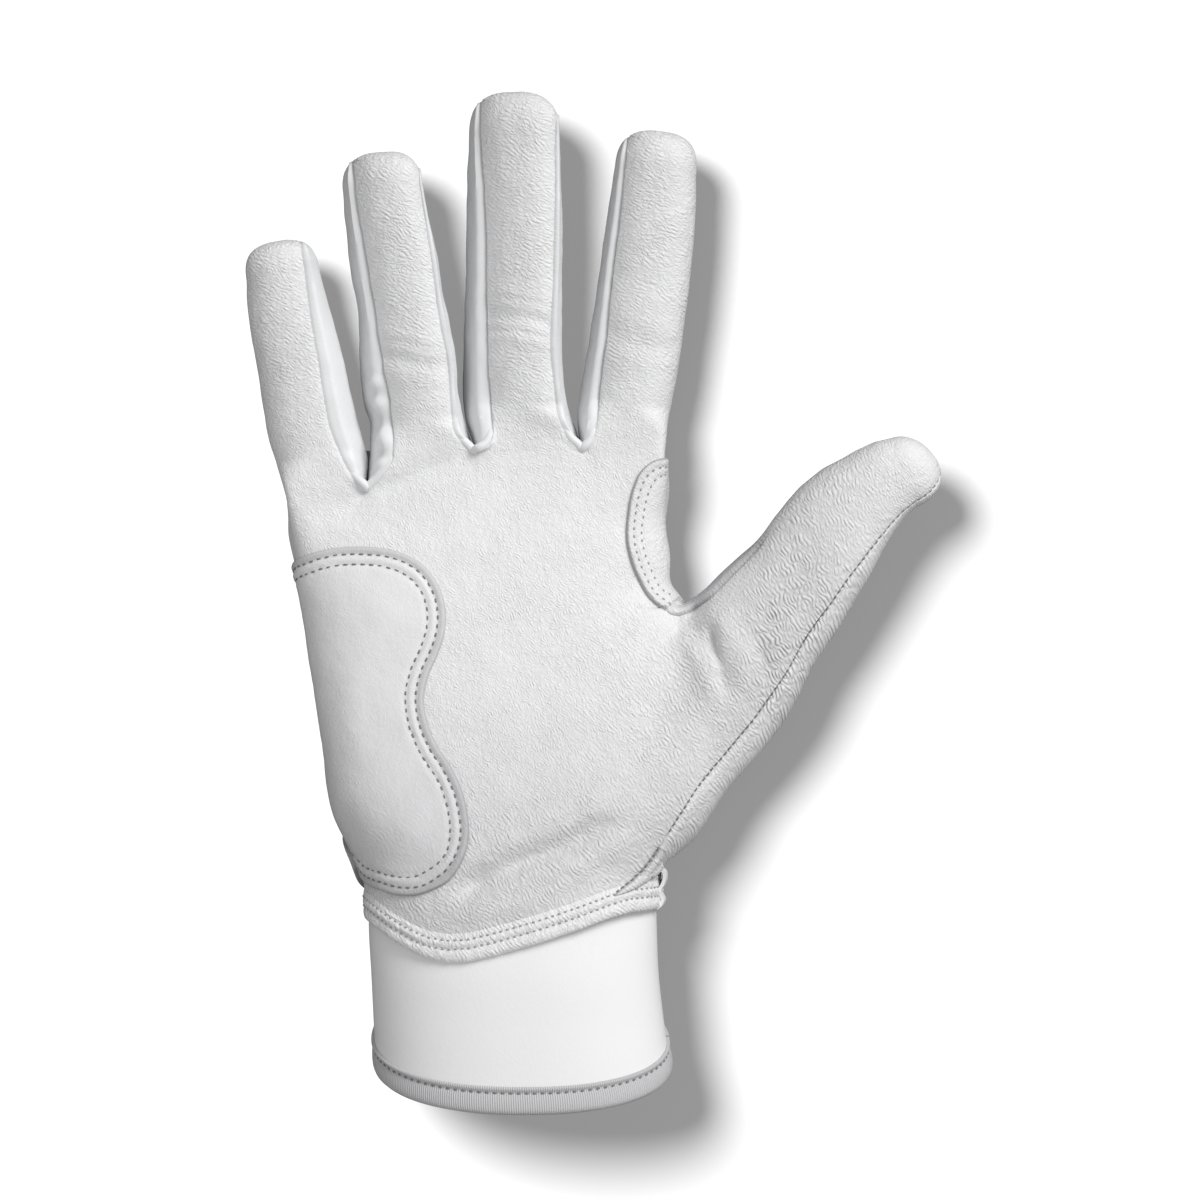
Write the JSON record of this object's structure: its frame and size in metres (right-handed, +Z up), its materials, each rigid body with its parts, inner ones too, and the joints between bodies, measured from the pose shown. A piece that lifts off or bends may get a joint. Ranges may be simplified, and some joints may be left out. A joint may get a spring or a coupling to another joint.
{
  "type": "batting glove",
  "caption": "White leather right-hand batting glove, filled as on a hand, with hinged fingers and thumb, a padded heel patch, a long cuff and a peeling wrist strap.",
  "frame": {"origin": "on the flat of the wrist strap on which the glove rests, under the middle of the wrist", "axes": "+X across the hand towards the thumb, +Y along the hand towards the fingertips, +Z up out of the palm"},
  "size_m": [0.1643, 0.2423, 0.046],
  "materials": {
    "palm_leather": "white pebbled leather with fine wrinkles, matt",
    "patch_leather": "white leather with a finer grain, soft sheen, grey cut edges",
    "fourchette_leather": "smooth white leather, soft sheen",
    "stretch_fabric": "white knitted stretch fabric, matt",
    "cuff_fabric": "smooth white padded fabric, matt",
    "tape": "white ribbed woven tape, matt",
    "foam": "pale grey closed-cell foam",
    "pull_rubber": "white moulded rubber, matt"
  },
  "bodies": {
    "hand": {"palm_panel": "palm_leather", "palm_hem_band": "palm_leather", "heel_patch": "patch_leather", "heel_foam": "foam", "thumb_crotch_patch": "patch_leather", "back_panel": "palm_leather", "knuckle_panel": "stretch_fabric", "wrist_gusset": "stretch_fabric", "wrist_tab": "tape", "cuff_palm_side": "cuff_fabric", "cuff_back_side": "cuff_fabric", "cuff_binding": "tape", "strap_anchor": "patch_leather", "loop_patch": "stretch_fabric"},
    "strap": {"wrist_strap": "patch_leather", "hook_patch": "tape", "strap_pull_tab": "pull_rubber"},
    "index_lower": {"index_lower_front": "palm_leather", "index_lower_back": "palm_leather", "index_lower_little_side_fourchette": "fourchette_leather"},
    "index_upper": {"index_upper_front": "palm_leather", "index_upper_back": "palm_leather", "index_upper_little_side_fourchette": "fourchette_leather"},
    "middle_lower": {"middle_lower_front": "palm_leather", "middle_lower_back": "palm_leather", "middle_lower_thumb_side_fourchette": "fourchette_leather", "middle_lower_little_side_fourchette": "fourchette_leather"},
    "middle_upper": {"middle_upper_front": "palm_leather", "middle_upper_back": "palm_leather", "middle_upper_thumb_side_fourchette": "fourchette_leather", "middle_upper_little_side_fourchette": "fourchette_leather"},
    "ring_lower": {"ring_lower_front": "palm_leather", "ring_lower_back": "palm_leather", "ring_lower_thumb_side_fourchette": "fourchette_leather", "ring_lower_little_side_fourchette": "fourchette_leather"},
    "ring_upper": {"ring_upper_front": "palm_leather", "ring_upper_back": "palm_leather", "ring_upper_thumb_side_fourchette": "fourchette_leather", "ring_upper_little_side_fourchette": "fourchette_leather"},
    "little_lower": {"little_lower_front": "palm_leather", "little_lower_back": "palm_leather", "little_lower_thumb_side_fourchette": "fourchette_leather"},
    "little_upper": {"little_upper_front": "palm_leather", "little_upper_back": "palm_leather", "little_upper_thumb_side_fourchette": "fourchette_leather"},
    "thumb_lower": {"thumb_lower_front": "palm_leather", "thumb_lower_back": "palm_leather"},
    "thumb_upper": {"thumb_upper_front": "palm_leather", "thumb_upper_back": "palm_leather"}
  },
  "joints": [
    {"name": "strap_peel", "type": "hinge", "parent": "hand", "child": "strap", "pos_m": [-0.0423, 0, 0.0117], "axis": [-0.2532, 0.9666, -0.0405], "range_deg": [0, 110]},
    {"name": "index_knuckle", "type": "hinge", "parent": "hand", "child": "index_lower", "pos_m": [0.02492, 0.10075, 0.02259], "axis": [0.9945, -0.1045, 0], "range_deg": [0, 80]},
    {"name": "index_middle_joint", "type": "hinge", "parent": "index_lower", "child": "index_upper", "pos_m": [0.02882, 0.13786, 0.02323], "axis": [0.9945, -0.1045, 0], "range_deg": [0, 85]},
    {"name": "middle_knuckle", "type": "hinge", "parent": "hand", "child": "middle_lower", "pos_m": [-0.0012, 0.10074, 0.02283], "axis": [1, 0, 0], "range_deg": [0, 80]},
    {"name": "middle_middle_joint", "type": "hinge", "parent": "middle_lower", "child": "middle_upper", "pos_m": [-0.0012, 0.14205, 0.02353], "axis": [1, 0, 0], "range_deg": [0, 85]},
    {"name": "ring_knuckle", "type": "hinge", "parent": "hand", "child": "ring_lower", "pos_m": [-0.02396, 0.09667, 0.02234], "axis": [0.9925, 0.1219, 0], "range_deg": [0, 80]},
    {"name": "ring_middle_joint", "type": "hinge", "parent": "ring_lower", "child": "ring_upper", "pos_m": [-0.02838, 0.1327, 0.02297], "axis": [0.9925, 0.1219, 0], "range_deg": [0, 85]},
    {"name": "little_knuckle", "type": "hinge", "parent": "hand", "child": "little_lower", "pos_m": [-0.04658, 0.08882, 0.02134], "axis": [0.9848, 0.1736, 0], "range_deg": [0, 80]},
    {"name": "little_middle_joint", "type": "hinge", "parent": "little_lower", "child": "little_upper", "pos_m": [-0.05167, 0.11768, 0.02181], "axis": [0.9848, 0.1736, 0], "range_deg": [0, 85]},
    {"name": "thumb_root", "type": "hinge", "parent": "hand", "child": "thumb_lower", "pos_m": [0.03625, 0.0312, 0.03521], "axis": [-0.0924, -0.9957, 0], "range_deg": [0, 50]},
    {"name": "thumb_middle_joint", "type": "hinge", "parent": "thumb_lower", "child": "thumb_upper", "pos_m": [0.0766, 0.081, 0.0303], "axis": [0.4599, -0.888, 0], "range_deg": [0, 55]}
  ]
}
